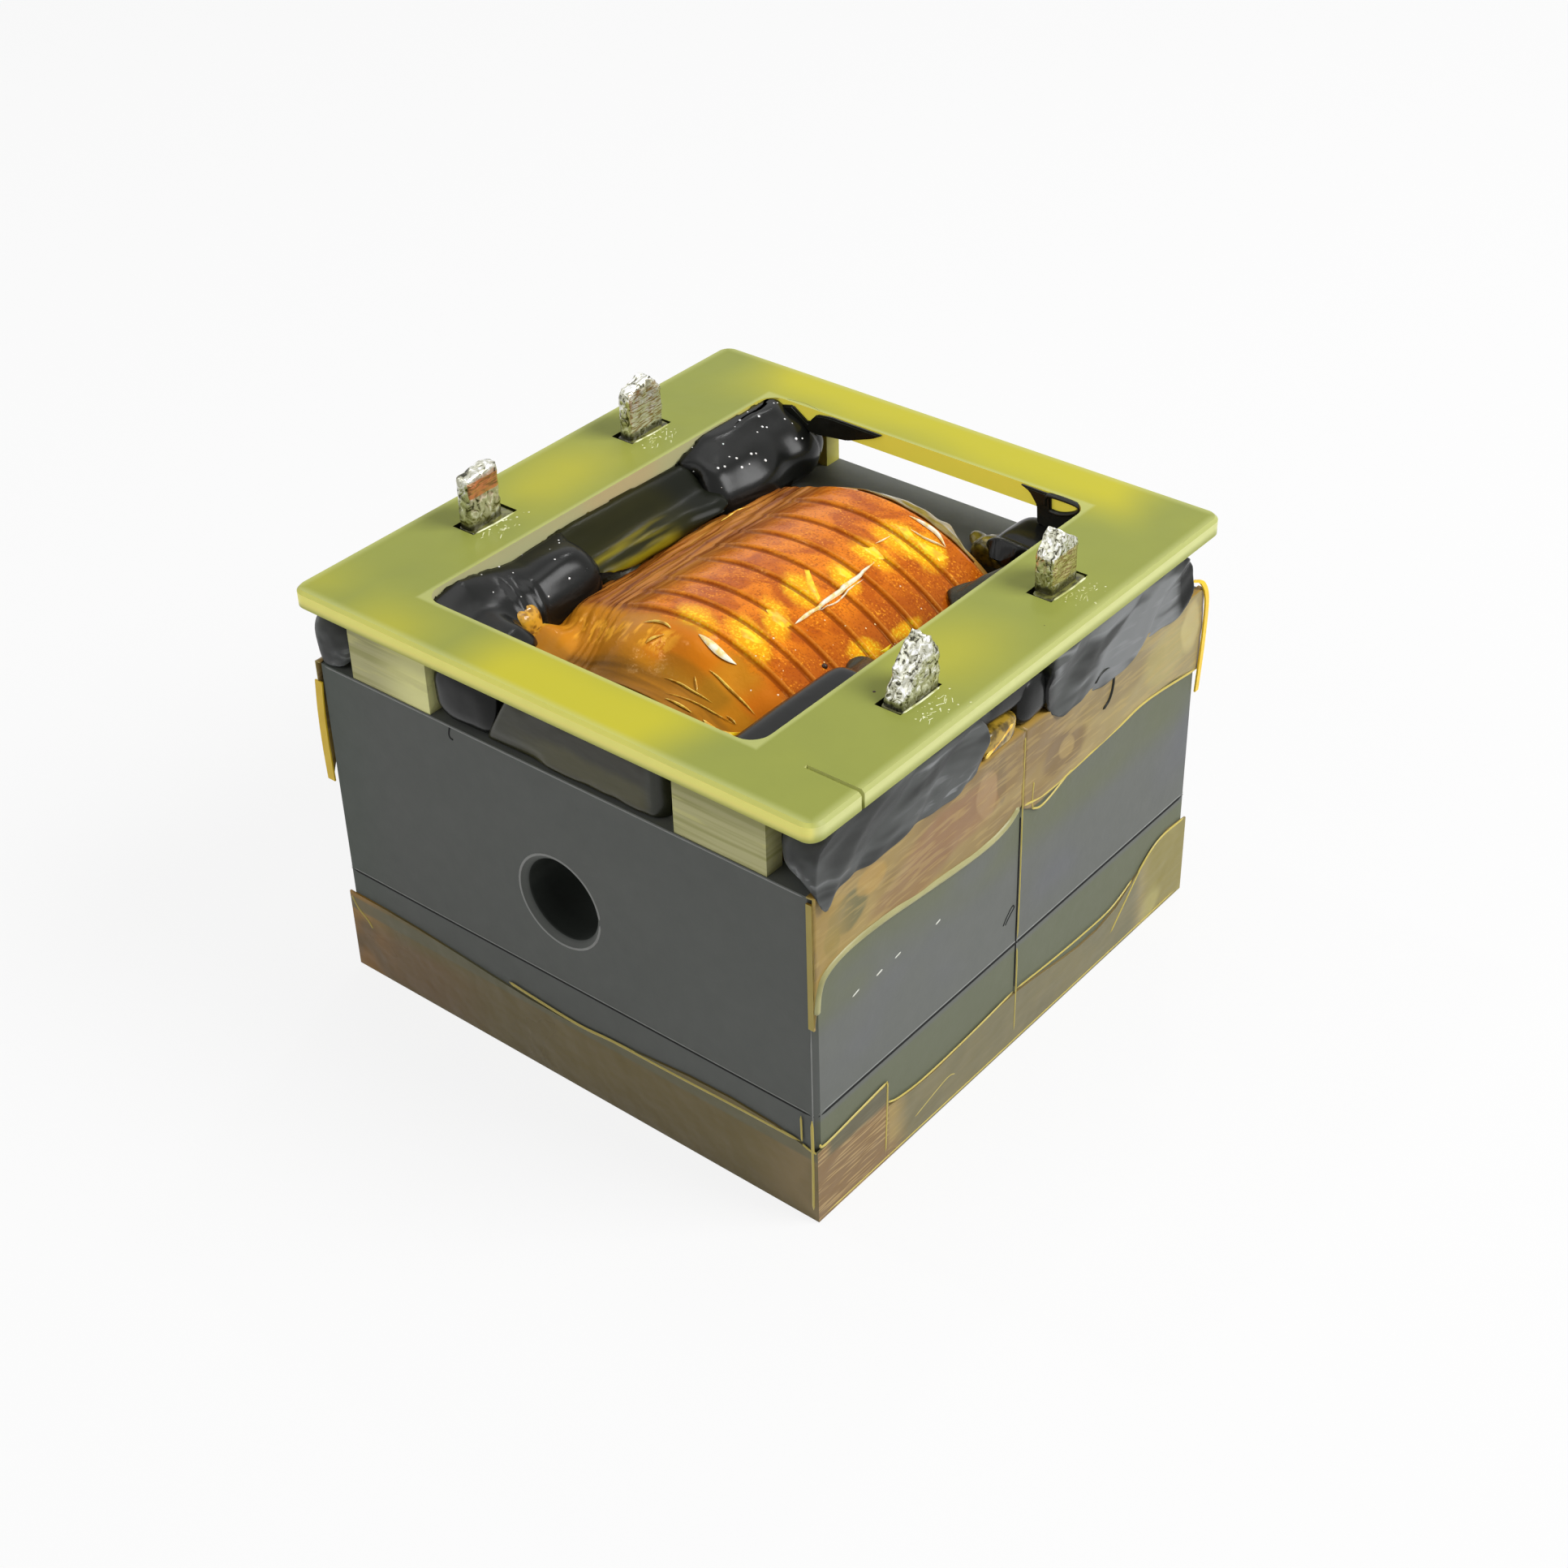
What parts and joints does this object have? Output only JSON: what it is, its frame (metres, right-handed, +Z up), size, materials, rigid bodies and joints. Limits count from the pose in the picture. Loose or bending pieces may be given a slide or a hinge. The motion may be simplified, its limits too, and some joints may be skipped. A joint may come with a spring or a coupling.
{
  "type": "pcb transformer",
  "caption": "Square ferrite-cored power transformer with a film-wrapped coil, sleeved leads and a raised frame board whose flat tinned ends solder into a circuit board.",
  "frame": {"origin": "middle of the underside, on the surface that the object stands on", "axes": "+X along the front face with the round hole, +Y from that face to the rear, +Z up through the board"},
  "size_m": [0.06, 0.061, 0.0496],
  "materials": {
    "ferrite": "matt sintered ferrite, dark grey with fine scratches",
    "board_laminate": "olive yellow solder resist on laminate, pale sawn edges",
    "spacer_laminate": "sawn glass-epoxy laminate with streaked layers",
    "tinned_copper": "dull lumpy solder over stranded copper",
    "sleeve": "black heat-shrink tubing, glossy where tight and satin where creased",
    "winding_copper": "stranded enamelled copper bundle",
    "winding_film": "clear amber film drawn over the turns",
    "film_tape": "thin amber insulating tape",
    "former_plastic": "moulded black former",
    "polyimide_tape": "translucent amber adhesive tape, creased"
  },
  "bodies": {
    "root": {"core_front_upper": "ferrite", "core_front_lower": "ferrite", "margin_tape_front": "film_tape", "core_rear_upper": "ferrite", "core_rear_lower": "ferrite", "margin_tape_rear": "film_tape", "lead_left_front": "tinned_copper", "sleeve_left_front": "sleeve", "spacer_left_front": "spacer_laminate", "band_left_front": "polyimide_tape", "lead_left_rear": "tinned_copper", "sleeve_left_rear": "sleeve", "spacer_left_rear": "spacer_laminate", "band_left_rear": "polyimide_tape", "lead_right_front": "tinned_copper", "sleeve_right_front": "sleeve", "spacer_right_front": "spacer_laminate", "band_right_front": "polyimide_tape", "lead_right_rear": "tinned_copper", "sleeve_right_rear": "sleeve", "spacer_right_rear": "spacer_laminate", "band_right_rear": "polyimide_tape", "coil_former": "former_plastic", "inner_winding": "winding_copper", "outer_winding": "winding_copper", "interlayer_tape": "film_tape", "winding_jacket": "winding_film", "lead_wrap_left": "winding_film", "barrier_film": "winding_film", "pin_board": "board_laminate", "base_wrap": "polyimide_tape"}
  },
  "joints": []
}
